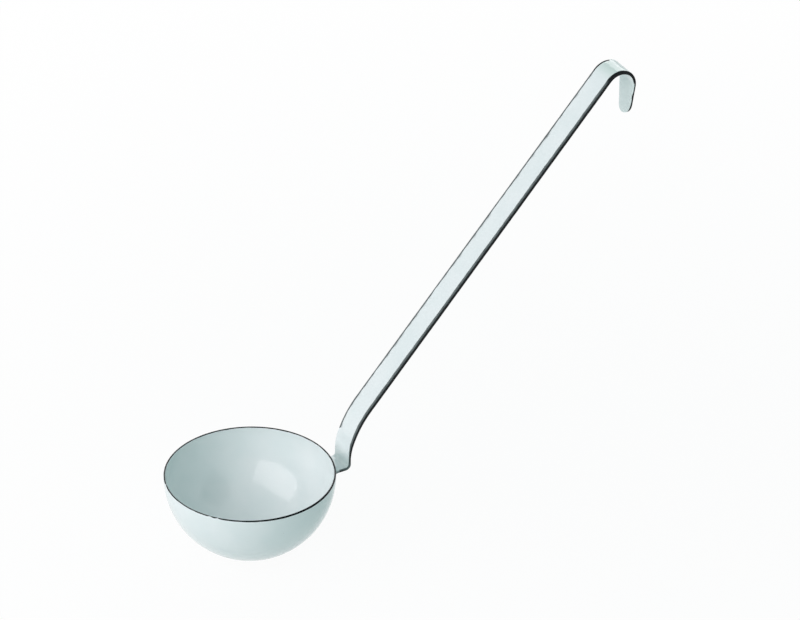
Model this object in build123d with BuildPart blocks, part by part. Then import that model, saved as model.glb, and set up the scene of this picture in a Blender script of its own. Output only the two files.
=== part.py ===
from build123d import *
import math
import os

os.makedirs("parts", exist_ok=True)

# Soup ladle of vitreous-enamelled steel, in millimetres.
# A pressed half-ball bowl is welded to the foot of a bent flat bar, a little below its rim.
# The rim is level, +Z is up, and the bar leans away from the bowl towards +X.
# The origin is the centre of the hook's inner bend, by which the ladle hangs.

# Bowl, measured over its enamel
bowl_radius = 45.0
lip_height = 0.8
bowl_sheet = 0.7
bowl_coat = 0.2
rim_line_height = 0.6
rim_line_round = 0.2

# Handle bar, measured over its enamel
bar_width = 14.5
bar_thickness = 2.8
foot_thickness = 1.6
tip_thickness = 1.3
bar_coat = 0.2
edge_coat = 0.5
edge_round = 0.35

# Run of the bar's front face, from the bowl up and over to the hook's tip
foot_depth = 11.1
neck_standoff = 10.2
foot_bend = 1.5
neck_straight = 2.6
neck_radius = 29.0
sweep_radius = 54.0
sweep_gap = 0.8
lean_angle = 43.2
shank_length = 211.4
hook_radius = 10.0
hook_inner_radius = 8.0
hook_close_angle = 2.5
leg_length = 22.8

# Outline of the hook's leg, which narrows to a rounded and slightly skewed tip.
# The tip is longest on its far side, +Y, and cut shorter on its near side, -Y.
taper_drop = 1.0
near_narrowing = 3.4
far_narrowing = 1.0
tip_skew = 3.8
tip_near_radius = 9.0
tip_far_radius = 3.2

# Weld bead round the bar's foot, and the enamel that pools over it
weld_reach = 4.0
weld_spread = 1.4
weld_toe = 0.1
pool_reach = 7.0
pool_spread = 2.2
pool_toe = 0.25
collar_root = 3.0

# Worked out from the sizes above
sheet_outer = bowl_radius - bowl_coat
sheet_inner = sheet_outer - bowl_sheet
bowl_inner = sheet_inner - bowl_coat
hook_turn = 180 + hook_close_angle - lean_angle
sweep_step = lean_angle / 2
neck_tangent = neck_radius * math.tan(math.radians(sweep_step / 2))
sweep_tangent = sweep_radius * math.tan(math.radians(sweep_step / 2))
hook_tangent = hook_radius * math.tan(math.radians(hook_turn / 2))

# The five straight runs of the bar: foot, neck, slope, shank and leg.
# A heading is counted from the vertical towards +X.
headings = [90, 0, sweep_step, lean_angle, 180 + hook_close_angle]
run_lengths = [
    bowl_radius + neck_standoff,
    foot_bend + neck_straight + neck_tangent,
    neck_tangent + sweep_gap + sweep_tangent,
    sweep_tangent + shank_length + hook_tangent,
    hook_tangent + leg_length,
]
corner_turns = [-90, sweep_step, sweep_step, hook_turn]
front_radii = [foot_bend, neck_radius, sweep_radius, hook_radius]

# Depth of each run's back face below its front face, and of the faces of the steel core
slope_thickness = (foot_thickness + bar_thickness) / 2
front_depths = [0, 0, 0, 0, 0]
core_front_depths = [bar_coat for _ in headings]
back_depths = [foot_thickness, foot_thickness, slope_thickness, bar_thickness, tip_thickness]
core_back_depths = [depth - bar_coat for depth in back_depths]


def heading_vector(angle):
    """Unit vector of a heading, as (out, up) in the bar's side view."""
    return math.sin(math.radians(angle)), math.cos(math.radians(angle))


def run_ends():
    """Ends of the runs on the front face, counted from the bowl's axis at rim level."""
    ends = [(0, -foot_depth)]
    for angle, length in zip(headings, run_lengths):
        out, up = heading_vector(angle)
        ends.append((ends[-1][0] + out * length, ends[-1][1] + up * length))
    return ends


def layer_corners(depths):
    """Corners of a layer's side line. Each run lies its own depth behind the front face, and
    two neighbours meet where their lines cross."""
    lines = []
    for (out, up), angle, depth in zip(run_ends(), headings, depths):
        along = heading_vector(angle)
        lines.append(((out + along[1] * depth, up - along[0] * depth), along))
    corners = [lines[0][0]]
    for (point, along), (other, beside) in zip(lines, lines[1:]):
        gap = (other[0] - point[0], other[1] - point[1])
        cross = along[0] * beside[1] - along[1] * beside[0]
        travel = (gap[0] * beside[1] - gap[1] * beside[0]) / cross
        corners.append((point[0] + along[0] * travel, point[1] + along[1] * travel))
    (out, up), along = lines[-1]
    corners.append((out + along[0] * run_lengths[-1], up + along[1] * run_lengths[-1]))
    return corners


def layer_radii(depths):
    """Bend radii of a layer. They grow with depth at the foot and shrink with it elsewhere.
    The hook is thinner at its leg, so a layer near its back is set out from the inner bend."""
    radii = []
    for index, (turn, radius) in enumerate(zip(corner_turns, front_radii)):
        depth = (depths[index] + depths[index + 1]) / 2
        radii.append(radius + depth if turn < 0 else radius - depth)
    from_back = bar_thickness - depths[-2]
    if from_back < bar_thickness / 2:
        radii[-1] = hook_inner_radius + from_back
    return radii


# Placing: the hook's inner bend lies one inner radius behind the shank's and the leg's backs
hook_out, hook_up = layer_corners([depth + hook_inner_radius for depth in back_depths])[-2]
rim_centre = Vector(-hook_out, 0, -hook_up)
ball_centre = rim_centre - Vector(0, 0, lip_height)
foot_middle = rim_centre - Vector(0, 0, foot_depth + foot_thickness / 2)
tip_level = rim_centre.Z + run_ends()[-1][1]
side_plane = Plane(origin=rim_centre, x_dir=(1, 0, 0), z_dir=(0, -1, 0))
bowl_axis = Axis(rim_centre, (0, 0, 1))


def bowl_shell(outer, inner):
    """Half-ball shell between two radii, with the upright lip that the rim line caps."""
    with BuildPart() as shell:
        with BuildSketch(side_plane):
            with BuildLine():
                Line((0, -lip_height - outer), (0, -lip_height - inner))
                CenterArc((0, -lip_height), inner, 270, 90)
                Line((inner, -lip_height), (inner, -rim_line_height))
                Line((inner, -rim_line_height), (outer, -rim_line_height))
                Line((outer, -rim_line_height), (outer, -lip_height))
                CenterArc((0, -lip_height), outer, 270, 90)
            make_face()
        revolve(axis=bowl_axis)
    return shell.part


def leg_waste(inset):
    """What is cut off the hook's leg to leave its narrowing outline and rounded tip, or an
    outline that lies the inset inside that one all round."""
    half_width = bar_width / 2
    near_level = tip_level + tip_skew
    near_growth = near_narrowing * taper_drop / (near_level + taper_drop)
    far_growth = far_narrowing * taper_drop / (tip_level + taper_drop)
    with BuildSketch(Plane.YZ) as outline:
        with BuildLine():
            sides = FilletPolyline(
                (near_growth - half_width, 0),
                (near_narrowing - half_width, near_level),
                (half_width - far_narrowing, tip_level),
                (half_width - far_growth, 0),
                radius=(tip_near_radius, tip_far_radius),
            )
            Line(sides @ 0, sides @ 1)
        make_face()
        if inset:
            offset(amount=-inset, kind=Kind.INTERSECTION)
    with BuildPart() as waste:
        with BuildSketch(Plane.YZ):
            with Locations((0, -taper_drop)):
                Rectangle(2 * bar_width, -2 * tip_level, align=(Align.CENTER, Align.MAX))
            add(outline.sketch_local, mode=Mode.SUBTRACT)
        extrude(amount=2 * hook_radius)
    return waste.part


def bar_layer(front, back, inset):
    """One layer of the bar between two depths, narrower by the inset on each edge and round
    the tip, and trimmed at the foot to the bowl's steel."""
    half_width = bar_width / 2 - inset
    front_corners = layer_corners(front)
    back_corners = layer_corners(back)
    with BuildPart() as layer:
        with BuildSketch(side_plane):
            with BuildLine():
                FilletPolyline(*front_corners, radius=layer_radii(front))
                FilletPolyline(*back_corners, radius=layer_radii(back))
                Line(front_corners[0], back_corners[0])
                Line(front_corners[-1], back_corners[-1])
            make_face()
        extrude(amount=half_width, both=True)
        add(leg_waste(inset), mode=Mode.SUBTRACT)
        with Locations(ball_centre):
            Sphere(sheet_outer, mode=Mode.SUBTRACT)
    return layer.part


def long_edges(bar):
    """Edges that run along the bar and round its tip, but none across its width, through its
    thickness or on the foot's trimmed end."""
    found = []
    for edge in bar.edges():
        box = edge.bounding_box()
        across = box.size.Y > bar_width / 2
        at_foot_end = box.max.X < foot_middle.X + bowl_radius
        through_leg = box.min.X > 0 and box.size.Z < edge_round / 100
        if not (across or at_foot_end or through_leg):
            found.append(edge)
    return found


def foot_collar(reach, spread, toe):
    """Collar round the bar's foot that tapers from the bowl's steel out along the foot."""
    wall_out = math.sqrt(sheet_outer**2 - foot_depth**2)
    with BuildPart() as collar:
        for out, extra in ((wall_out - collar_root, spread), (wall_out + reach, toe)):
            across = Plane(foot_middle + Vector(out, 0, 0), x_dir=(0, 1, 0), z_dir=(1, 0, 0))
            with BuildSketch(across):
                Rectangle(bar_width + 2 * extra, foot_thickness + 2 * extra)
        loft(ruled=True)
        with Locations(ball_centre):
            Sphere(sheet_outer, mode=Mode.SUBTRACT)
    return collar.part


# Shapes that several pieces are cut to
bar_envelope = bar_layer(front_depths, back_depths, 0)
bar_inside_edges = bar_layer(front_depths, back_depths, edge_coat)
weld_collar = foot_collar(weld_reach, weld_spread, weld_toe)
pool_collar = foot_collar(pool_reach, pool_spread, pool_toe)

# Bowl: deep-drawn steel sheet
with BuildPart() as bowl_steel:
    add(bowl_shell(sheet_outer, sheet_inner))
bowl_steel.part.label = "bowl_steel"
export_step(bowl_steel.part, "parts/bowl_steel.step")

# White enamel fired onto the bowl's inside
with BuildPart() as bowl_inside_enamel:
    add(bowl_shell(sheet_inner, bowl_inner))
bowl_inside_enamel.part.label = "bowl_inside_enamel"
export_step(bowl_inside_enamel.part, "parts/bowl_inside_enamel.step")

# White enamel on the bowl's outside, open where the handle is welded on
with BuildPart() as bowl_outside_enamel:
    add(bowl_shell(bowl_radius, sheet_outer))
    add(pool_collar, mode=Mode.SUBTRACT)
bowl_outside_enamel.part.label = "bowl_outside_enamel"
export_step(bowl_outside_enamel.part, "parts/bowl_outside_enamel.step")

# Dark enamel line that caps the sheet's edge and both coats
with BuildPart() as rim_enamel_line:
    with BuildSketch(side_plane):
        with BuildLine():
            crest = FilletPolyline(
                (bowl_inner, -rim_line_height),
                (bowl_inner, 0),
                (bowl_radius, 0),
                (bowl_radius, -rim_line_height),
                radius=rim_line_round,
            )
            Line(crest @ 0, crest @ 1)
        make_face()
    revolve(axis=bowl_axis)
rim_enamel_line.part.label = "rim_enamel_line"
export_step(rim_enamel_line.part, "parts/rim_enamel_line.step")

# Handle: flat steel bar, bent at foot, neck and hook, and drawn thinner at both ends
with BuildPart() as handle_steel:
    add(bar_layer(core_front_depths, core_back_depths, edge_coat))
handle_steel.part.label = "handle_steel"
export_step(handle_steel.part, "parts/handle_steel.step")

# White enamel on the bar's front and back faces, up to the weld
with BuildPart() as handle_front_enamel:
    add(bar_layer(front_depths, core_front_depths, edge_coat))
    add(weld_collar, mode=Mode.SUBTRACT)
handle_front_enamel.part.label = "handle_front_enamel"
export_step(handle_front_enamel.part, "parts/handle_front_enamel.step")

with BuildPart() as handle_back_enamel:
    add(bar_layer(core_back_depths, back_depths, edge_coat))
    add(weld_collar, mode=Mode.SUBTRACT)
handle_back_enamel.part.label = "handle_back_enamel"
export_step(handle_back_enamel.part, "parts/handle_back_enamel.step")

# Dark enamel along both edges of the bar and round the hook's tip
with BuildPart() as handle_edge_enamel:
    add(bar_envelope)
    fillet(long_edges(handle_edge_enamel), radius=edge_round)
    add(bar_inside_edges, mode=Mode.SUBTRACT)
    add(weld_collar, mode=Mode.SUBTRACT)
handle_edge_enamel.part.label = "handle_edge_enamel"
export_step(handle_edge_enamel.part, "parts/handle_edge_enamel.step")

# Weld bead that joins the bar's foot to the bowl's steel
with BuildPart() as weld_bead:
    add(weld_collar)
    add(handle_steel.part, mode=Mode.SUBTRACT)
weld_bead.part.label = "weld_bead"
export_step(weld_bead.part, "parts/weld_bead.step")

# Enamel that pooled over the weld in the kiln
with BuildPart() as joint_enamel:
    add(pool_collar)
    add(weld_collar, mode=Mode.SUBTRACT)
    add(bar_envelope, mode=Mode.SUBTRACT)
joint_enamel.part.label = "joint_enamel"
export_step(joint_enamel.part, "parts/joint_enamel.step")

print("hook centre from the bowl's axis and rim", round(hook_out, 3), round(hook_up, 3))
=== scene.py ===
import bmesh
import bpy
import numpy as np
from mathutils import Matrix, Vector


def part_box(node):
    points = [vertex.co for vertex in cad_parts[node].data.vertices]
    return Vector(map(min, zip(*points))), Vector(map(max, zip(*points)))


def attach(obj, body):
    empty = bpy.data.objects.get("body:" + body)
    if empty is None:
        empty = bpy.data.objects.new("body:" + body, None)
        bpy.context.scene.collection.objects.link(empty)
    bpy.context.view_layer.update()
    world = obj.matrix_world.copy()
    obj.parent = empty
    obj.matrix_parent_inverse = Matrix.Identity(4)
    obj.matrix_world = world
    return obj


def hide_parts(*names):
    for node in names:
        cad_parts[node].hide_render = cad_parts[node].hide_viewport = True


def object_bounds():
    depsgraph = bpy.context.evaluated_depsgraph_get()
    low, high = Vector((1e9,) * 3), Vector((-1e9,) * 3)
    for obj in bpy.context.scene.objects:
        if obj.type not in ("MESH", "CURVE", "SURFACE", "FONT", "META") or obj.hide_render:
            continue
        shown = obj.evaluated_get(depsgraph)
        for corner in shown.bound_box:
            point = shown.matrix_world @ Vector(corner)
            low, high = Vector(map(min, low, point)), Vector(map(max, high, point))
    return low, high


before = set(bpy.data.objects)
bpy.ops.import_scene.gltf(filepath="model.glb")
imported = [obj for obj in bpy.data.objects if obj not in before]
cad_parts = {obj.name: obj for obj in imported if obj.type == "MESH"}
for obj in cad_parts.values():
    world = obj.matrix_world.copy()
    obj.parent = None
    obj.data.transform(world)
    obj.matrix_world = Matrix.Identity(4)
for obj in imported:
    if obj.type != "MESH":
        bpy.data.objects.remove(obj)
cad_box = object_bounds()

# Bowl, handle bar and weld bead: low-carbon steel sheet drawn into a half ball, a bent flat bar
# and the weld that joins them. Enamel covers all of it, so these solids keep their own meshes
# and only get the finish of pickled steel.
steel_grain = 0.0004
steel_grain_band = (0.35, 0.65)
steel_grain_detail = 4.0
steel_light = (0.46, 0.46, 0.47, 1)
steel_dark = (0.30, 0.30, 0.31, 1)
steel_roughness = (0.35, 0.5)
steel_relief = 0.3
steel_relief_depth = steel_grain / 20


def add_node(tree, kind, inputs=None, **settings):
    """One shader node with its settings. Each input is a number, a colour or another socket."""
    made = tree.nodes.new(kind)
    for name, value in settings.items():
        setattr(made, name, value)
    for name, value in (inputs or {}).items():
        if isinstance(value, bpy.types.NodeSocket):
            tree.links.new(value, made.inputs[name])
        else:
            made.inputs[name].default_value = value
    return made


def mix_colours(tree, share, first, second):
    """Colour between two others: the first where the share is 0, the second where it is 1."""
    factor, first_colour, second_colour, mixed = 0, 6, 7, 2
    inputs = {factor: share, first_colour: first, second_colour: second}
    return add_node(tree, "ShaderNodeMix", inputs, data_type="RGBA").outputs[mixed]


def noise_share(tree, size, band, detail=2.0):
    """Noise with blobs of a size in metres, spread so that the ends of the band become 0 and 1."""
    place = add_node(tree, "ShaderNodeTexCoord").outputs["Object"]
    inputs = {"Vector": place, "Scale": 1 / size, "Detail": detail}
    noise = add_node(tree, "ShaderNodeTexNoise", inputs).outputs["Fac"]
    inputs = {"Value": noise, "From Min": band[0], "From Max": band[1]}
    return add_node(tree, "ShaderNodeMapRange", inputs).outputs["Result"]


def set_roughness(tree, shader, share, span):
    """Roughness that goes from the span's first value to its second as the share goes 0 to 1."""
    inputs = {"Value": share, "To Min": span[0], "To Max": span[1]}
    roughness = add_node(tree, "ShaderNodeMapRange", inputs).outputs["Result"]
    tree.links.new(roughness, shader.inputs["Roughness"])


def set_relief(tree, shader, share, strength, depth):
    """Fine relief, whose height is the share times a depth in metres."""
    inputs = {"Height": share, "Strength": strength, "Distance": depth}
    tree.links.new(add_node(tree, "ShaderNodeBump", inputs).outputs["Normal"], shader.inputs["Normal"])


def new_finish(name):
    """A node material with its tree and its Principled shader."""
    finish = bpy.data.materials.new(name)
    finish.use_nodes = True
    return finish, finish.node_tree, finish.node_tree.nodes["Principled BSDF"]


def pickled_steel():
    """Mill-grey steel with a fine mottled grain in colour, roughness and height."""
    finish, tree, shader = new_finish("pickled_steel")
    grain = noise_share(tree, steel_grain, steel_grain_band, steel_grain_detail)
    tree.links.new(mix_colours(tree, grain, steel_dark, steel_light), shader.inputs["Base Color"])
    set_roughness(tree, shader, grain, steel_roughness)
    set_relief(tree, shader, grain, steel_relief, steel_relief_depth)
    shader.inputs["Metallic"].default_value = 1.0
    return finish


steel = pickled_steel()
for name in ("bowl_steel", "handle_steel", "weld_bead"):
    for material_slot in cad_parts[name].material_slots:
        material_slot.material = steel

# Outside of the bowl: glossy white enamel, dipped and fired over the steel. It waves a little, as
# fired enamel does, and turns over the rim to the middle of the wall, where the inside coat
# meets it. The rim's level and the radii come from the solids it replaces.
metre = 0.001
wave_height = 0.035
wave_counts = (2, 3, 5)
rise_counts = (1.5, 4)
crest_drop = 0.05
coat_overlap = 0.05
line_room = 0.05
pole_angle = 0.4
bowl_rows = 120
crest_rows = 12
back_row_step = 3
bowl_columns = 288
cloud_size = 0.018
cloud_band = (0.35, 0.65)
cloud_shade = (0.80, 0.865, 0.86, 1)
cloud_light = (0.84, 0.89, 0.885, 1)
# Darker green, for thick enamel and for painted shade on the handle's bends, leg and joint.
pool_green = (0.66, 0.80, 0.74, 1)
speck_spacing = 0.009
speck_radius_share = 0.016
speck_rarity = 0.8
speck_grey = (0.30, 0.31, 0.30, 1)
mist_grey = (0.16, 0.18, 0.18, 1)
gloss_patch = 0.006
gloss_band = (0.3, 0.7)
gloss_roughness = (0.05, 0.09)
peel_size = 0.0022
peel_band = (0.2, 0.8)
peel_relief = 0.5
peel_depth = 0.00003

outside_low, outside_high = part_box("bowl_outside_enamel")
bowl_radius = (outside_high.x - outside_low.x) / 2 / metre
rim_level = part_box("rim_enamel_line")[1].z / metre
rim_middle = np.array([(outside_high.x + outside_low.x) / 2 / metre, 0, rim_level])
lip_height = rim_level - outside_low.z / metre - bowl_radius
steel_low, steel_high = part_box("bowl_steel")
sheet_outer = (steel_high.x - steel_low.x) / 2 / metre
sheet_top = steel_high.z / metre - rim_level
inside_low, inside_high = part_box("bowl_inside_enamel")
sheet_inner = (inside_high.x - inside_low.x) / 2 / metre
bowl_inner = sheet_inner - (bowl_radius - sheet_outer)
coat_radius = bowl_radius - line_room
wall_middle = (coat_radius + bowl_inner) / 2
crest_round = (coat_radius - bowl_inner) / 2


def waver(turn, counts, seed):
    """Random wave of about -1 to 1 along a turn that goes from 0 to 1: the sum of one sine for
    each count of waves in the turn, each with its own random start."""
    starts = np.random.default_rng(seed).uniform(0, 2 * np.pi, len(counts))
    waves = [np.sin(2 * np.pi * (count * turn) + start) for count, start in zip(counts, starts)]
    return sum(waves) / np.sqrt(len(counts))


def ease(share):
    """Smooth step from 0 to 1: three times the square less twice the cube of the share."""
    share = np.clip(share, 0, 1)
    return share * share * (3 - 2 * share)


def skin(name, grid, closed=(True, True), ring=False, **marks):
    """Closed mesh over a grid of points in millimetres. The columns run round and meet. The rows
    meet too in a ring, and otherwise each end row that is to be closed gets a fan to its middle.
    Each mark is a number for each grid point, kept as an attribute that the finish reads."""
    rows, columns = grid.shape[:2]
    points = [grid.reshape(-1, 3)]
    values = {mark: [np.broadcast_to(value, (rows, columns)).ravel()] for mark, value in marks.items()}
    index = np.arange(rows * columns).reshape(rows, columns)
    beside = np.roll(index, -1, axis=1)
    if ring:
        quads = np.stack([index, beside, np.roll(beside, -1, axis=0), np.roll(index, -1, axis=0)], -1)
    else:
        quads = np.stack([index[:-1], beside[:-1], beside[1:], index[1:]], -1)
    quads = quads.reshape(-1, 4)
    fans = np.zeros((0, 3), int)
    for row, wanted, step in ((0, closed[0], 1), (-1, closed[1], -1)):
        if wanted and not ring:
            middle = sum(len(part) for part in points)
            points.append(grid[row].mean(axis=0)[None])
            for mark in marks:
                values[mark].append(np.broadcast_to(marks[mark], (rows, columns))[row].mean()[None])
            fan = np.stack([beside[row], index[row], np.full(columns, middle)], -1)[:, ::step]
            fans = np.concatenate([fans, fan])
    points = np.concatenate(points)
    triangles = np.concatenate([quads[:, [0, 1, 2]], quads[:, [0, 2, 3]], fans])
    first, second, third = (points[triangles[:, corner]] for corner in range(3))
    turned = -1 if (first * np.cross(second, third)).sum() < 0 else 1
    mesh = bpy.data.meshes.new(name)
    faces = quads[:, ::turned].tolist() + fans[:, ::turned].tolist()
    mesh.from_pydata((points * metre).tolist(), [], faces)
    for mark, parts in values.items():
        attribute = mesh.attributes.new(mark, "FLOAT", "POINT")
        attribute.data.foreach_set("value", np.concatenate(parts).astype(np.float32))
    mesh.polygons.foreach_set("use_smooth", np.ones(len(faces), bool))
    piece = bpy.data.objects.new(name, mesh)
    bpy.context.scene.collection.objects.link(piece)
    return piece


def place_piece(piece, finish, slot, *replaced):
    """Gives a piece its finish, lets it ride on the ladle's one body, and hides the solids that it
    stands for. The slot is not used."""
    piece.data.materials.append(finish)
    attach(piece, "root")
    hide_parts(*replaced)


def bowl_coat(seen_radius, hidden_radius, seed):
    """Skin of one coat, turned round the bowl's axis. Its profile climbs the seen side of the
    ball from the pole to the lip, makes a quarter turn over the crest to the middle of the wall,
    drops to the steel's edge and goes back down the hidden side. The seen side waves most at
    half height, by the square of the sine of twice the climb."""
    climb = np.radians(np.linspace(pole_angle, 90, bowl_rows))
    over = np.radians(np.linspace(0, 90, crest_rows))
    back = climb[::-back_row_step]
    drop = np.array([sheet_top + coat_overlap, sheet_top - coat_overlap])
    radius = np.concatenate([
        seen_radius * np.sin(climb),
        wall_middle + (seen_radius - wall_middle) * np.cos(over),
        [wall_middle, hidden_radius],
        hidden_radius * np.sin(back),
    ])
    level = np.concatenate([
        -lip_height - seen_radius * np.cos(climb),
        -crest_drop - crest_round * (1 - np.sin(over)),
        drop,
        -lip_height - hidden_radius * np.cos(back),
    ])
    turn = np.linspace(0, 1, bowl_columns, endpoint=False)
    share = np.zeros(len(radius))
    share[:bowl_rows] = np.sin(2 * climb) ** 2
    rise = np.linspace(0, 1, len(radius))
    waves = waver(turn[None, :] + rise[:, None], wave_counts, seed)
    waves = waves * waver(rise[:, None], rise_counts, seed + 1)
    inwards = np.sign(wall_middle - seen_radius)
    radius = radius[:, None] + inwards * wave_height * share[:, None] * (1 + np.clip(waves, -1, 1)) / 2
    angle = 2 * np.pi * turn[None, :]
    level = np.broadcast_to(level[:, None], radius.shape)
    grid = np.stack([radius * np.cos(angle), radius * np.sin(angle), level], -1)
    return rim_middle + grid


def speck_share(tree):
    """1 in a few small round specks and 0 elsewhere: the middles of some cells of a cell pattern."""
    place = add_node(tree, "ShaderNodeTexCoord").outputs["Object"]
    cells = add_node(tree, "ShaderNodeTexVoronoi", {"Vector": place, "Scale": 1 / speck_spacing}).outputs
    chosen = add_node(tree, "ShaderNodeSeparateColor", {"Color": cells["Color"]}).outputs["Red"]
    inputs = {0: cells["Distance"], 1: speck_radius_share}
    dots = add_node(tree, "ShaderNodeMath", inputs, operation="LESS_THAN").outputs[0]
    inputs = {0: chosen, 1: speck_rarity}
    rare = add_node(tree, "ShaderNodeMath", inputs, operation="GREATER_THAN").outputs[0]
    return add_node(tree, "ShaderNodeMath", {0: dots, 1: rare}, operation="MULTIPLY").outputs[0]


def white_enamel():
    """White cover enamel: a cool white with faint clouds, greener where it lies thick and where shade
    is painted in, grey where it thins over the dark ground coat, with orange peel in its height, and a few
    specks."""
    finish, tree, shader = new_finish("white_enamel")
    colour = mix_colours(tree, noise_share(tree, cloud_size, cloud_band), cloud_shade, cloud_light)
    # Mark for thick enamel and painted shade: mixes in the darker green.
    pool = add_node(tree, "ShaderNodeAttribute", attribute_name="pool").outputs["Fac"]
    colour = mix_colours(tree, pool, colour, pool_green)
    colour = mix_colours(tree, speck_share(tree), colour, speck_grey)
    mist = add_node(tree, "ShaderNodeAttribute", attribute_name="mist").outputs["Fac"]
    colour = mix_colours(tree, mist, colour, mist_grey)
    tree.links.new(colour, shader.inputs["Base Color"])
    set_roughness(tree, shader, noise_share(tree, gloss_patch, gloss_band), gloss_roughness)
    set_relief(tree, shader, noise_share(tree, peel_size, peel_band), peel_relief, peel_depth)
    return finish


cover_enamel = white_enamel()
outside_grid = bowl_coat(coat_radius, sheet_outer - coat_overlap, seed=11)
outside = skin("bowl_outside_coat", outside_grid, pool=0.0, mist=0.0)
place_piece(outside, cover_enamel, "enamel_white", "bowl_outside_enamel")

# Inside of the bowl: the same white enamel, poured in and drained, over the inside of the sheet.
# It meets the outside coat on the crest of the rim.
inside_grid = bowl_coat(bowl_inner, sheet_inner + coat_overlap, seed=23)
inside = skin("bowl_inside_coat", inside_grid, pool=0.0, mist=0.0)
place_piece(inside, cover_enamel, "enamel_white", "bowl_inside_enamel")

# Rim line: a thin bead of blue-black enamel, drawn round the crest by hand and fired once more.
# It is narrowest on the left, where it is nearly broken in places, and widest on the right-hand
# front, where it runs down the outer wall.
line_lift = 0.04
line_sink = 0.03
line_thickness = 0.09
line_half_width = 0.45
line_back_extra = 0.27
line_waver = 0.05
line_outer_counts = (9, 17, 31, 53)
line_inner_counts = (7, 19, 37)
line_flatness = 4
line_rows = 15
line_under_step = 3
line_columns = 720
heavy_azimuth = -74.0
heavy_spread = 62.0
heavy_outside = 0.8
heavy_inside = 0.12
back_azimuth = 61.0
back_spread = 70.0
break_azimuths = (-147.0, -141.5, 163.0)
break_spread = 1.3
break_depth = 0.6
mottle_size = 0.0012
mottle_band = (0.4, 0.7)
mottle_detail = 3.0
mottle_black = (0.004, 0.005, 0.006, 1)
mottle_slate = (0.014, 0.018, 0.021, 1)
# Grey for the painted reflection on the upper half of the handle's edges.
veil_grey = (0.17, 0.19, 0.19, 1)
dark_roughness = (0.14, 0.26)
dark_specular = 0.12
ripple_size = 0.0016
ripple_band = (0.2, 0.8)
ripple_relief = 0.6
ripple_depth = 0.00004


def over_crest(travel, lift):
    """Radius and level on the rim. The travel is counted in millimetres from the crest's top,
    outwards when positive: round the crest's circle to the wall, and then straight down it."""
    reach = crest_round * np.pi / 2
    bend = np.clip(travel, -reach, reach) / crest_round
    radius = wall_middle + (crest_round + lift) * np.sin(bend)
    past = np.abs(travel) - np.abs(bend) * crest_round
    level = -crest_drop - crest_round + (crest_round + lift) * np.cos(bend) - past
    return radius, level


def near_azimuth(azimuth, centre, spread):
    """Bell curve round an azimuth in degrees, 1 at its centre and 0.37 one spread away."""
    away = (azimuth - centre + 180) % 360 - 180
    return np.exp(-((away / spread) ** 2))


def dark_enamel(name):
    """Blue-black enamel, mottled from black to slate, and painted grey where its mark is high: a
    painted reflection on the upper half of the handle's edges, and grey at the foot bend."""
    finish, tree, shader = new_finish(name)
    mottle = noise_share(tree, mottle_size, mottle_band, mottle_detail)
    colour = mix_colours(tree, mottle, mottle_black, mottle_slate)
    # Painted reflection: grey where the edge mark is high; the white coats use the same mark for thinning.
    veil = add_node(tree, "ShaderNodeAttribute", attribute_name="mist").outputs["Fac"]
    colour = mix_colours(tree, veil, colour, veil_grey)
    tree.links.new(colour, shader.inputs["Base Color"])
    set_roughness(tree, shader, mottle, dark_roughness)
    set_relief(tree, shader, noise_share(tree, ripple_size, ripple_band), ripple_relief, ripple_depth)
    shader.inputs["Specular IOR Level"].default_value = dark_specular
    return finish


line_turn = np.linspace(0, 1, line_columns, endpoint=False)
azimuth = 360 * line_turn
heavy = near_azimuth(azimuth, heavy_azimuth, heavy_spread)
unbroken = 1 - sum(break_depth * near_azimuth(azimuth, place, break_spread) for place in break_azimuths)
line_wide = line_half_width + line_back_extra * near_azimuth(azimuth, back_azimuth, back_spread)
line_outer = line_wide + line_waver * waver(line_turn, line_outer_counts, seed=5) + heavy_outside * heavy
line_outer = line_outer * unbroken
line_inner = -(line_wide + line_waver * waver(line_turn, line_inner_counts, seed=6) + heavy_inside * heavy)
line_inner = line_inner * unbroken
line_share = np.linspace(0, 1, line_rows)[:, None]
line_travel = line_inner + (line_outer - line_inner) * line_share
line_top = line_lift - (line_lift + line_sink) * (2 * line_share - 1) ** line_flatness
line_under = line_travel[-2:0:-line_under_step]
line_travel = np.concatenate([line_travel, line_under])
line_height = np.concatenate([line_top, np.full((len(line_under), 1), -line_thickness)])
line_radius, line_level = over_crest(line_travel, line_height)
line_angle = 2 * np.pi * line_turn
line_grid = np.stack([line_radius * np.cos(line_angle), line_radius * np.sin(line_angle), line_level], -1)
rim_line = skin("rim_line", rim_middle + line_grid, ring=True, mist=0.0)
place_piece(rim_line, dark_enamel("rim_line_enamel"), "enamel_dark", "rim_enamel_line")

# Dark edges of the handle: blue-black ground enamel that shows along both edges of the bar and
# round the hook's tip, where the white coat has drawn back from the corners. It is one strip, up
# the near edge, round the tip and down the far edge. The bar's sizes are those of its solids.
bar_width = 14.5
bar_thickness = 2.8
foot_thickness = 1.6
tip_thickness = 1.3
foot_depth = 11.1
foot_start = 42.95
neck_standoff = 10.2
foot_bend = 1.5
neck_straight = 2.6
neck_radius = 29.0
sweep_radius = 54.0
sweep_gap = 0.8
lean_angle = 43.2
shank_length = 211.4
hook_radius = 10.0
hook_inner_radius = 8.0
hook_close_angle = 2.5
leg_length = 22.8
taper_level = -1.0
near_narrowing = 3.4
far_narrowing = 1.0
tip_skew = 3.8
tip_near_radius = 9.0
tip_far_radius = 3.2
tip_middle_share = 0.55
face_room = 0.015

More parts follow.
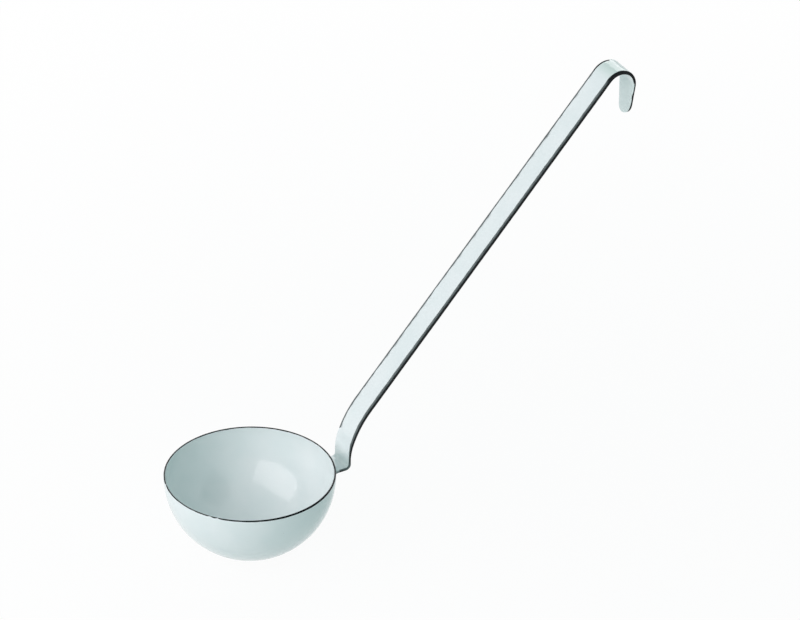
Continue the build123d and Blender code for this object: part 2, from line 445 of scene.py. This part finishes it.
sweep_step = lean_angle / 2
hook_turn = 180 + hook_close_angle - lean_angle
headings = 1j * np.exp(-1j * np.radians([90, 0, sweep_step, lean_angle, 180 + hook_close_angle]))
tangents = np.array([neck_radius, sweep_radius]) * np.tan(np.radians(sweep_step / 2))
hook_tangent = hook_radius * np.tan(np.radians(hook_turn / 2))
run_lengths = np.array([
    bowl_radius + neck_standoff - foot_start,
    foot_bend + neck_straight + tangents[0],
    tangents[0] + sweep_gap + tangents[1],
    tangents[1] + shank_length + hook_tangent,
    hook_tangent + leg_length,
])
slope_thickness = (foot_thickness + bar_thickness) / 2
back_depths = np.array([foot_thickness, foot_thickness, slope_thickness, bar_thickness, tip_thickness])
front_radii = [foot_bend, neck_radius, sweep_radius, hook_radius]
back_radii = [
    foot_bend + foot_thickness,
    neck_radius - (foot_thickness + slope_thickness) / 2,
    sweep_radius - (slope_thickness + bar_thickness) / 2,
    hook_inner_radius,
]
run_steps = [24, 6, 2, 380, 1]
arc_steps = [16, 24, 36, 84]
taper_steps = 44
tip_places = 14
tip_arc_steps = 16


def side_corners(depths):
    """Corners of a side line, as out + up·i from the bowl's axis at rim level. Each run lies its
    own depth behind the front face, and two neighbours meet where their lines cross."""
    ends = np.cumsum(np.concatenate([[foot_start - 1j * foot_depth], run_lengths * headings]))
    places = ends[:-1] - 1j * headings * depths
    crossing = np.imag(np.conj(headings[:-1]) * headings[1:])
    travel = np.imag(np.conj(np.diff(places)) * headings[1:]) / crossing
    meets = places[:-1] + headings[:-1] * travel
    return np.concatenate([places[:1], meets, [places[-1] + headings[-1] * run_lengths[-1]]])


def rounded_line(corners, radii, runs, arcs):
    """Straight runs joined by tangent arcs, as complex points with their complex directions. The
    runs give the shares of the way at which each run has a point, and the arcs their steps."""
    directions = np.diff(corners) / np.abs(np.diff(corners))
    start, points, ways = corners[0], [], []
    for number, radius in enumerate(radii):
        before, after = directions[number], directions[number + 1]
        turn = np.angle(after / before)
        cut = radius * np.tan(abs(turn) / 2)
        entry = corners[number + 1] - before * cut
        centre = entry + 1j * np.sign(turn) * before * radius
        swing = np.exp(1j * turn * np.arange(arcs[number]) / arcs[number])
        points += [start + (entry - start) * runs[number], centre + (entry - centre) * swing]
        ways += [np.full(len(runs[number]), before), before * swing]
        start = corners[number + 1] + after * cut
    points.append(start + (corners[-1] - start) * runs[-1])
    ways.append(np.full(len(runs[-1]), directions[-1]))
    return np.concatenate(points), np.concatenate(ways)


even_runs = [np.arange(steps) / steps for steps in run_steps[:-1]] + [np.array([0.0, 1.0])]
front_line = rounded_line(side_corners(0 * back_depths), front_radii, even_runs, arc_steps)[0]
back_line = rounded_line(side_corners(back_depths), back_radii, even_runs, arc_steps)[0]
middle_line = (front_line + back_line) / 2
bar_along = np.concatenate([[0], np.cumsum(np.abs(np.diff(middle_line)))])
tip_along = bar_along[-1]
tip_level = rim_level + middle_line[-1].imag


def bar_side(along):
    """Front point of the bar's side line at a way along it, and the vector to its back point."""
    front, back = (np.interp(along, bar_along, line.real) + 1j * np.interp(along, bar_along, line.imag)
                   for line in (front_line, back_line))
    return front, back - front


def on_bar(place, depth):
    """Point on the bar. The place is along + across·i in the bar as if it were unbent, and the
    depth is counted from just under its front face, along the line that joins front and back."""
    front, through = bar_side(place.real)
    side = front + (depth + face_room) * through / np.abs(through)
    return rim_middle + np.stack([side.real, place.imag, side.imag], -1)


def leg_along(level):
    """Way along the bar at which its leg has come down to a level."""
    return tip_along - (level - tip_level) / np.cos(np.radians(hook_close_angle))


taper_along = leg_along(taper_level)
near_corner = leg_along(tip_level + tip_skew) + 1j * (near_narrowing - bar_width / 2)
far_corner = tip_along + 1j * (bar_width / 2 - far_narrowing)
tip_middle = near_corner + tip_middle_share * (far_corner - near_corner)
taper_shares = np.arange(1, taper_steps) / taper_steps
outline_runs = [bar_along[:-1] / taper_along, taper_shares, np.linspace(0, 1, tip_places)]


def bar_edge(side, corner, radius):
    """One edge of the unbent bar, from the foot to the middle of the tip: its points, its inward
    directions and the way along it. The side is -1 on the near edge and 1 on the far edge."""
    half = side * 1j * bar_width / 2
    corners = np.array([half, taper_along + half, corner, tip_middle])
    points, ways = rounded_line(corners, [0, radius], outline_runs, [1, tip_arc_steps])
    travel = np.concatenate([[0], np.cumsum(np.abs(np.diff(points)))])
    return points, -side * 1j * ways, travel


near_edge, near_inwards, near_travel = bar_edge(-1, near_corner, tip_near_radius)
far_edge, far_inwards, far_travel = bar_edge(1, far_corner, tip_far_radius)

edge_reach_share = 0.17
edge_power = 2 / 3
ground_sink = 0.08
ground_draw = 0.05
ground_waver = 0.05
ground_counts = (5, 13, 29, 61)
ground_cover_inset = 0.47
tip_meeting = 3.0
merge_distance = 1e-6
strip_face_turns = np.array([1.9, 1.4])
strip_side_places = 17
# These shape a painted reflection: grey on the upper half of the edges, left off on the hook.
veil_turn = 0.1
veil_turn_fade = 0.2
veil_hook_lead = 3.0
veil_hook_fade = 4.0
veil_foot_spread = 3.0
veil_level = 0.9
veil_patches = 0.15
veil_counts = (17, 41, 83)


def edge_point(depth_turn, thickness, face_margin, side_margin):
    """Inset and depth on the bar's crowned edge. The depth turn is 1 and more on the front face,
    0 at half thickness and -1 on the back. Between 1 and -1 the edge is a rounded-off half box:
    cosine and sine of a quarter turn, both raised to two thirds. Past 1 it runs in over the face."""
    reach = edge_reach_share * thickness
    quarter = np.radians(90) * np.clip(depth_turn, -1, 1)
    past = np.maximum(np.abs(depth_turn) - 1, 0)
    inset = side_margin + reach * (1 - np.abs(np.cos(quarter)) ** edge_power) + past
    half = thickness / 2
    depth = half - (half - face_margin) * np.sign(quarter) * np.abs(np.sin(quarter)) ** edge_power
    return inset, depth


def edge_strip(edge, inwards, margins, turns):
    """Points of the strip's section at each place of an edge, outer side and inner side."""
    thickness = np.abs(bar_side(edge.real)[1])[:, None]
    inset, depth = edge_point(turns[None, :], thickness, ground_sink, margins[:, None])
    under_inset = np.maximum(inset, ground_cover_inset)[:, ::-1]
    under_depth = np.clip(depth, 2 * ground_sink, thickness - 2 * ground_sink)[:, ::-1]
    inset = np.concatenate([inset, under_inset], axis=1)
    depth = np.concatenate([depth, under_depth], axis=1)
    return on_bar(edge[:, None] + inwards[:, None] * inset, depth)


def edge_margin(travel, seed):
    """How far the ground coat stands inside the bar's outline, in slow and quick waves."""
    return ground_draw + ground_waver * (1 + waver(travel / tip_along, ground_counts, seed) / 2)


def merge_doubles(piece):
    """Merges points that lie on each other, so that a mesh has no flat faces and no open slits."""
    build = bmesh.new()
    build.from_mesh(piece.data)
    bmesh.ops.remove_doubles(build, verts=build.verts, dist=merge_distance)
    build.to_mesh(piece.data)
    build.free()


def meet_at_tip(near, far):
    """Values along the near and the far edge, which both turn into their mean over the last
    stretch before the middle of the tip, where the two edges meet."""
    mean = (near[-1] + far[-1]) / 2
    return [values + (mean - values) * ease(1 - (travel[-1] - travel) / tip_meeting)
            for values, travel in ((near, near_travel), (far, far_travel))]


def mark_along(along, centre, spread):
    """Bell curve round a way along the bar, 1 at its centre and 0.37 one spread away."""
    return np.exp(-(((along - centre) / spread) ** 2))


foot_bend_along = bar_along[run_steps[0] + arc_steps[0] // 2]
hook_start = bar_along[sum(run_steps[:4]) + sum(arc_steps[:3])]
hook_end = bar_along[-2]

side_turns = np.linspace(1, -1, strip_side_places)
strip_turns = np.concatenate([strip_face_turns, side_turns, -strip_face_turns[::-1]])
near_margin, far_margin = meet_at_tip(edge_margin(near_travel, seed=31), edge_margin(far_travel, seed=32))
near_strip = edge_strip(near_edge, near_inwards, near_margin, strip_turns)
far_strip = edge_strip(far_edge, far_inwards, far_margin, strip_turns)
strip_grid = np.concatenate([near_strip, far_strip[-2::-1]])
strip_along = np.concatenate([near_edge.real, far_edge.real[-2::-1]])[:, None]
section_turns = np.concatenate([strip_turns, strip_turns[::-1]])[None, :]
# Painted reflection: the upper half of each edge's rounding is painted grey, at random strength along the
# bar and not on the hook. At the foot bend the edges are painted grey all round.
upper_veil = ease((section_turns - veil_turn) / veil_turn_fade)
on_hook = ease((strip_along - hook_start + veil_hook_lead) / veil_hook_fade)
at_foot = mark_along(strip_along, foot_bend_along, veil_foot_spread)
veil_density = veil_level + veil_patches * waver(strip_along / tip_along, veil_counts, seed=33)
strip_mist = np.clip(upper_veil * veil_density * (1 - on_hook) + at_foot, 0, 1)
edges = skin("handle_edges", strip_grid, mist=strip_mist)
merge_doubles(edges)
place_piece(edges, dark_enamel("edge_enamel"), "enamel_dark", "handle_edge_enamel")

# Front of the handle: white enamel on the bar's upper face, from the joint to the hook's tip. It
# lies on the ground coat and stops just short of the corners, but wraps over the far edge of the
# neck and of the hook, where no dark line shows.
cover_drop = 0.03
cover_fade = 0.45
cover_inner_turn = 2.0
zone_columns = 9
face_columns = 9
under_column_step = 2
limit_mist = 0.9
near_cover_turn = 1.15
near_cover_waver = 0.07
near_cover_counts = (5, 13, 27, 53)
far_cover_turn = 1.7
far_cover_waver = 0.13
far_cover_counts = (5, 11, 23, 47)
wrap_turn = 0.15
wrap_fade = 1.8
crown_line_along = 17.5
crown_line_spread = 4.0
crown_line_turn = 1.0
neck_cover = 0.9
neck_cover_along = 18.0
neck_cover_spread = 5.0
neck_wrap_end = 27.5
hook_wrap_start = 8.3
# Green on the front face at the foot's inner bend: partly thick enamel in that corner, partly painted
# shade there.
foot_pool = 0.25
foot_pool_spread = 2.6
# Painted shade: a green patch on the front face where the hook's bend starts.
hook_pool = 0.8
hook_pool_along = 6.0
hook_pool_spread = 5.0


def cover_zone(edge, inwards, margin, limit, face):
    """Places and depths of the outer zone of a face coat, from its limit in over the face. The
    limit is the depth turn at which the coat ends, where it dips just under the ground coat."""
    share = np.linspace(0, 1, zone_columns)[None, :]
    turns = limit[:, None] + (cover_inner_turn - limit[:, None]) * share
    thin = 1 - ease((turns - limit[:, None]) / cover_fade)
    thickness = np.abs(bar_side(edge.real)[1])[:, None]
    face_margin = (ground_sink + cover_drop) * thin
    side_margin = margin[:, None] - ground_draw * (1 - thin) + cover_drop * thin
    inset, depth = edge_point(turns, thickness, face_margin, side_margin)
    depth = depth if face == "front" else thickness - depth
    return edge[:, None] + inwards[:, None] * inset, depth, thin


def face_coat(name, near_limit, far_limit, face, pool):
    """Closed coat on one face of the bar. Each row crosses the face from the near limit to the
    far limit, and comes back below the coat. The rows of the two sides meet at the tip."""
    near_place, near_depth, near_thin = cover_zone(near_edge, near_inwards, near_margin, near_limit, face)
    far_place, far_depth, far_thin = cover_zone(far_edge, far_inwards, far_margin, far_limit, face)
    share = np.linspace(0, 1, face_columns + 2)[None, 1:-1]
    face_place = near_place[:, -1:] + (far_place[:, -1:] - near_place[:, -1:]) * share
    face_depth = near_depth[:, -1:] + (far_depth[:, -1:] - near_depth[:, -1:]) * share
    flat = np.zeros(face_place.shape)
    place = np.concatenate([near_place, face_place, far_place[:, ::-1]], axis=1)
    depth = np.concatenate([near_depth, face_depth, far_depth[:, ::-1]], axis=1)
    thin = np.concatenate([near_thin, flat, far_thin[:, ::-1]], axis=1)
    below = 2 * ground_sink if face == "front" else -2 * ground_sink
    under = slice(None, None, -under_column_step)
    under_depth = depth[:, under] + below * (1 - thin[:, under] / 2)
    grid = on_bar(np.concatenate([place, place[:, under]], axis=1),
                  np.concatenate([depth, under_depth], axis=1))
    mist = np.concatenate([thin, thin[:, under]], axis=1) ** 2
    return skin(name, grid, closed=(True, False), mist=limit_mist * mist, pool=pool)


near_along = near_edge.real
far_along = far_edge.real
near_turn = near_travel / tip_along
far_turn = far_travel / tip_along
front_near = near_cover_turn + near_cover_waver * waver(near_turn, near_cover_counts, seed=41)
front_near = front_near - neck_cover * mark_along(near_along, neck_cover_along, neck_cover_spread)
front_far = far_cover_turn + far_cover_waver * waver(far_turn, far_cover_counts, seed=42)
on_neck = 1 - ease((far_along - neck_wrap_end) / wrap_fade)
past_hook = ease((far_along - hook_start - hook_wrap_start) / wrap_fade)
front_far = front_far + (wrap_turn - front_far) * np.clip(on_neck + past_hook, 0, 1)
on_crown = mark_along(far_along, hook_start + crown_line_along, crown_line_spread)
front_far = front_far + (crown_line_turn - front_far) * on_crown
front_near, front_far = meet_at_tip(front_near, front_far)
# Painted shade with thick enamel in the foot's inner bend, greener and darker.
at_bend = foot_pool * mark_along(near_along, foot_bend_along, foot_pool_spread)
# Painted shade on the hook bend's front face, greener and darker.
at_hook = hook_pool * mark_along(near_along, hook_start + hook_pool_along, hook_pool_spread)
front = face_coat("handle_front_coat", front_near, front_far, "front", (at_bend + at_hook)[:, None])
merge_doubles(front)
place_piece(front, cover_enamel, "enamel_white", "handle_front_enamel")

# Back of the handle: the same white enamel on the bar's lower face. It shows inside the hook, on
# the leg, where it wraps over the far edge and leaves an uneven dark line on the near one.
leg_far_turn = 0.1
leg_thin_turn = 0.1
leg_dark_turn = 0.95
leg_dark_levels = ((-8.0, 2.0), (-16.0, 3.4))
leg_near_lead = 2.0
leg_near_fade = 2.0
leg_far_lead = 6.0
leg_far_fade = 3.0
back_far_waver = 0.10
# Painted shade: green on the back face under the foot bend and all down the leg.
back_foot_pool = 0.3
back_foot_pool_spread = 3.5
leg_pool = 0.2

back_near = near_cover_turn + near_cover_waver * waver(near_turn, near_cover_counts, seed=51)
back_far = far_cover_turn + back_far_waver * waver(far_turn, far_cover_counts, seed=52)
on_leg_near = ease((near_along - hook_end + leg_near_lead) / leg_near_fade)
on_leg_far = ease((far_along - hook_end + leg_far_lead) / leg_far_fade)
dark_places = sum(mark_along(near_along, leg_along(level), length) for level, length in leg_dark_levels)
leg_near = leg_thin_turn + (leg_dark_turn - leg_thin_turn) * np.clip(dark_places, 0, 1)
back_near = back_near + (leg_near - back_near) * on_leg_near
back_far = back_far + (leg_far_turn - back_far) * on_leg_far
back_near, back_far = meet_at_tip(back_near, back_far)
# Painted shade under the foot bend and on the leg, greener and darker.
back_pool = back_foot_pool * mark_along(near_along, foot_bend_along, back_foot_pool_spread)
back_pool = back_pool + leg_pool * on_leg_near
back = face_coat("handle_back_coat", back_near, back_far, "back", back_pool[:, None])
merge_doubles(back)
place_piece(back, cover_enamel, "enamel_white", "handle_back_enamel")

# Joint of handle and bowl: enamel that ran together over the weld in the kiln. It is a smooth
# uneven fillet round the foot of the bar, wider on the far side, painted a little green in the middle
# of its slope for thick enamel and for painted shade in the corner, and dark along the near edge of
# the foot. It covers the weld bead all round.
joint_reach = 7.0
joint_spread = 1.6
joint_far_spread = 1.9
joint_waver = 0.12
joint_core = 0.3
joint_counts = (2, 3, 5)
joint_swell_share = 0.25
joint_out_power = 1.6
joint_lift_power = 1.6
joint_ball_sink = 0.08
joint_toe_depth = 0.1
# Green in the fillet's middle: thick enamel and painted shade in the corner between foot and bowl.
joint_pool_share = 0.08
joint_mist_share = 0.8
joint_near_start = 0.4
joint_near_fade = 0.5
joint_bare_share = 0.35
joint_bare_fade = 0.5
joint_rows = 26
joint_columns = 144
toe_sink = 0.16
outline_turns = (0, 0.05, 0.12, 0.38, 0.45, 0.55, 0.62, 0.88, 0.95, 1)
outline_across = (1, 1, 1, -1, -1, -1, -1, 1, 1, 1)
outline_up = (0, 1, 1, 1, 1, -1, -1, -1, -1, 0)
outline_facing = (0, 0, 90, 90, 180, 180, 270, 270, 360, 360)

joint_turn = np.linspace(0, 1, joint_columns, endpoint=False)[None, :]
joint_facing = np.radians(np.interp(joint_turn, outline_turns, outline_facing))
joint_share = np.linspace(0, 1, joint_rows)[:, None]
joint_swell = 1 + joint_waver * (1 + np.clip(waver(joint_turn, joint_counts, seed=61), -1, 1))
far_side = ((1 + np.cos(joint_facing)) / 2) ** 2
joint_length = joint_reach * (1 - joint_swell_share + joint_swell_share * joint_swell)
joint_away = joint_length * joint_share**joint_out_power
spread = (joint_spread + joint_far_spread * far_side) * joint_swell
joint_fall = (1 - joint_share**joint_out_power) ** joint_lift_power
joint_lift = (spread + toe_sink) * joint_fall - toe_sink
ball_level = -lip_height
foot_level = -foot_depth - foot_thickness / 2


def foot_outline(lift):
    """Across and level of a line round the foot, lifted off it: a point that goes round the sides
    of a core box inside the foot, and stands off from it the way that the side faces, so that the
    corners are round."""
    wide = (bar_width / 2 - joint_core) * np.interp(joint_turn, outline_turns, outline_across)
    high = (foot_thickness / 2 - joint_core) * np.interp(joint_turn, outline_turns, outline_up)
    stand = joint_core + lift
    return wide + stand * np.cos(joint_facing), foot_level + high + stand * np.sin(joint_facing)


def from_ball(lift, away, radius):
    """Points at a distance out from the ball, on the line round the foot lifted off it."""
    wide, level = foot_outline(lift)
    out = np.sqrt(radius**2 - wide**2 - (level - ball_level) ** 2) + away
    return np.stack([out, wide, level], -1)


seen_ball = bowl_radius - joint_ball_sink
hidden_ball = sheet_outer - coat_overlap
joint_outer = from_ball(joint_lift, joint_away, seen_ball)
joint_under = from_ball(joint_lift[-1:] - joint_toe_depth, joint_away[-1:], seen_ball)
joint_root = from_ball(joint_lift[-1:] - joint_toe_depth, 0 * joint_away[-1:], hidden_ball)
joint_foot = from_ball(joint_lift[:1], 0 * joint_away[:1], hidden_ball)
joint_grid = np.concatenate([joint_outer, joint_under, joint_root, joint_foot])
joint_inner_rows = np.zeros((3, joint_columns))
# Strongest in the middle of the fillet's slope, where thick enamel and painted shade go.
thick = np.sin(np.pi * joint_share) ** 2 * np.ones_like(joint_turn)
joint_pool = np.concatenate([joint_pool_share * thick, joint_inner_rows])
near_side = ease((-np.cos(joint_facing) - joint_near_start) / joint_near_fade)
near_foot = near_side * ease((joint_share - joint_bare_share) / joint_bare_fade)
joint_mist = np.concatenate([joint_mist_share * near_foot, joint_inner_rows])
joint = skin("joint_fillet", rim_middle + joint_grid, ring=True, pool=joint_pool, mist=joint_mist)
place_piece(joint, cover_enamel, "enamel_white", "joint_enamel")

# Floor: a plain white board under the ladle. The camera and reflections see it as white, and
# near the ladle it keeps a soft shadow.
floor_half_size = 9.0
board_colour = (0.74, 0.81, 0.80, 1)
board_roughness = 0.9
board_specular = 0.1
plain_white = (1, 1, 1, 1)
shadow_share = 0.08
shadow_reach = 0.7


def seen_share(tree):
    """1 for a ray from the camera, or off a glossy or through a clear surface, and 0 for others."""
    rays = add_node(tree, "ShaderNodeLightPath").outputs
    seen = rays["Is Camera Ray"]
    for kind in ("Is Glossy Ray", "Is Transmission Ray"):
        seen = add_node(tree, "ShaderNodeMath", {0: seen, 1: rays[kind]}, operation="MAXIMUM").outputs[0]
    return seen


def white_floor():
    """Matt white that turns into plain white light towards the distance, for the camera and for
    reflections, so that the board has no edge and no fall-off, and keeps the shadow."""
    finish, tree, shader = new_finish("white_board")
    shader.inputs["Base Color"].default_value = board_colour
    shader.inputs["Roughness"].default_value = board_roughness
    shader.inputs["Specular IOR Level"].default_value = board_specular
    glow = add_node(tree, "ShaderNodeEmission", {"Color": plain_white, "Strength": 1.0})
    place = add_node(tree, "ShaderNodeTexCoord").outputs["Object"]
    away = add_node(tree, "ShaderNodeVectorMath", {0: place}, operation="LENGTH").outputs["Value"]
    inputs = {"Value": away, "From Max": shadow_reach, "To Min": 1 - shadow_share}
    lift = add_node(tree, "ShaderNodeMapRange", inputs, interpolation_type="SMOOTHSTEP").outputs["Result"]
    inputs = {0: seen_share(tree), 1: lift}
    share = add_node(tree, "ShaderNodeMath", inputs, operation="MULTIPLY").outputs[0]
    board = add_node(tree, "ShaderNodeMixShader", {0: share, 1: shader.outputs[0], 2: glow.outputs[0]})
    tree.links.new(board.outputs[0], tree.nodes["Material Output"].inputs["Surface"])
    return finish


visual_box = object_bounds()
floor_level = min(visual_box[0][2], cad_box[0][2])
floor_corners = floor_half_size * np.array([[-1, -1, 0], [1, -1, 0], [1, 1, 0], [-1, 1, 0]], float)
floor_mesh = bpy.data.meshes.new("floor")
floor_mesh.from_pydata((floor_corners + [0, 0, floor_level]).tolist(), [], [[0, 1, 2, 3]])
floor_mesh.materials.append(white_floor())
floor = bpy.data.objects.new("floor", floor_mesh)
bpy.context.scene.collection.objects.link(floor)

# Camera: a long lens, 33 degrees above the rim's level and 29 degrees round from square to the
# handle. It is aimed so that the middle of the rim falls on its place in the picture.
picture_size = np.array([800.0, 620.0])
rim_pixel = np.array([249.74, 473.28])
view_elevation = np.radians(33.44)
view_azimuth = np.radians(29.0)
view_roll = np.radians(1.11)
view_distance = 4.0
sensor_width = 36.0
lens_pixels = 7689.6
clip_distance = 60.0

level_right = Vector((np.cos(view_azimuth), -np.sin(view_azimuth), 0))
backwards = Vector((
    -np.sin(view_azimuth) * np.cos(view_elevation),
    -np.cos(view_azimuth) * np.cos(view_elevation),
    np.sin(view_elevation),
))
level_up = backwards.cross(level_right)
right = level_right * np.cos(view_roll) - level_up * np.sin(view_roll)
upwards = level_right * np.sin(view_roll) + level_up * np.cos(view_roll)
offset = rim_pixel - picture_size / 2
sight = Vector((offset[0], -offset[1], -lens_pixels))
aim = sight.rotation_difference(Vector((0, 0, -1))).to_matrix()
turned = Matrix((right, upwards, backwards)).transposed() @ aim
camera_data = bpy.data.cameras.new("camera")
camera_data.sensor_width = sensor_width
camera_data.lens = sensor_width * lens_pixels / picture_size[0]
camera_data.clip_end = clip_distance
camera = bpy.data.objects.new("camera", camera_data)
camera.matrix_world = turned.to_4x4()
camera.location = Vector(rim_middle * metre) + backwards * view_distance
bpy.context.scene.collection.objects.link(camera)
bpy.context.scene.camera = camera

# Light: a wide soft box on the left, a smaller one behind on the right, and a weak cool light from
# all round that is strongest from the upper left. Reflections see plain white all round, apart from
# a round black flag on the camera's right, which shades the left of the bowl's inside.
aim_share = 0.6
fill_left = 0.66
fill_up = 0.45
fill_front = 0.22
fill_edges = (-0.3, 1.0)
fill_weak = (0.11, 0.26, 0.25, 1)
fill_strong = (0.62, 0.65, 0.68, 1)
flag_azimuth = -51.6
flag_elevation = 33.3
flag_radius = 23.0
flag_edge = 1.5

aim_point = Vector(rim_middle * metre) * aim_share
fill_way = backwards * fill_front - level_right * fill_left + Vector((0, 0, fill_up))


def way_to(azimuth, elevation):
    """Unit vector in the direction of an azimuth and an elevation in degrees."""
    turn, rise = np.radians(azimuth), np.radians(elevation)
    return Vector((np.cos(turn) * np.cos(rise), np.sin(turn) * np.cos(rise), np.sin(rise)))


def soft_box(name, azimuth, elevation, distance, width, height, power, colour):
    """Rectangular lamp of a size in metres that faces the ladle from a direction in degrees."""
    data = bpy.data.lights.new(name, "AREA")
    data.shape = "RECTANGLE"
    data.size, data.size_y = width, height
    data.energy = power
    data.color = colour
    lamp = bpy.data.objects.new(name, data)
    way = way_to(azimuth, elevation)
    lamp.location = aim_point + way * distance
    lamp.rotation_euler = way.to_track_quat("Z", "Y").to_euler()
    lamp.visible_camera = False
    bpy.context.scene.collection.objects.link(lamp)


soft_box("side_soft_box", azimuth=-167.0, elevation=26.0, distance=1.8, width=2.3, height=1.3,
         power=18.6, colour=(0.98, 0.91, 0.93))
soft_box("back_soft_box", azimuth=42.0, elevation=24.0, distance=1.8, width=1.4, height=1.0,
         power=9.5, colour=(1.0, 0.93, 0.95))


def towards(tree, way, low, high):
    """0 to 1 as the cosine between a ray's direction and a way goes from low to high, smoothly."""
    direction = add_node(tree, "ShaderNodeTexCoord").outputs["Generated"]
    inputs = {0: direction, 1: tuple(way)}
    cosine = add_node(tree, "ShaderNodeVectorMath", inputs, operation="DOT_PRODUCT").outputs["Value"]
    inputs = {"Value": cosine, "From Min": float(low), "From Max": float(high)}
    return add_node(tree, "ShaderNodeMapRange", inputs, interpolation_type="SMOOTHSTEP").outputs["Result"]


world = bpy.data.worlds.new("studio")
world.use_nodes = True
tree = world.node_tree
tree.nodes.clear()
fill_share = towards(tree, fill_way.normalized(), *fill_edges)
fill_colour = mix_colours(tree, fill_share, fill_weak, fill_strong)
fill = add_node(tree, "ShaderNodeBackground", {"Color": fill_colour, "Strength": 1.0})
flag_rim = np.cos(np.radians([flag_radius + flag_edge, flag_radius - flag_edge]))
flag = towards(tree, way_to(flag_azimuth, flag_elevation), *flag_rim)
straight = add_node(tree, "ShaderNodeLightPath").outputs["Is Camera Ray"]
bare = add_node(tree, "ShaderNodeMath", {0: 1.0, 1: flag}, operation="SUBTRACT").outputs[0]
bare = add_node(tree, "ShaderNodeMath", {0: bare, 1: straight}, operation="MAXIMUM").outputs[0]
white = add_node(tree, "ShaderNodeBackground", {"Color": plain_white, "Strength": bare})
inputs = {0: seen_share(tree), 1: fill.outputs[0], 2: white.outputs[0]}
both = add_node(tree, "ShaderNodeMixShader", inputs)
add_node(tree, "ShaderNodeOutputWorld", {"Surface": both.outputs[0]})
bpy.context.scene.world = world
bpy.context.scene.view_settings.view_transform = "Standard"
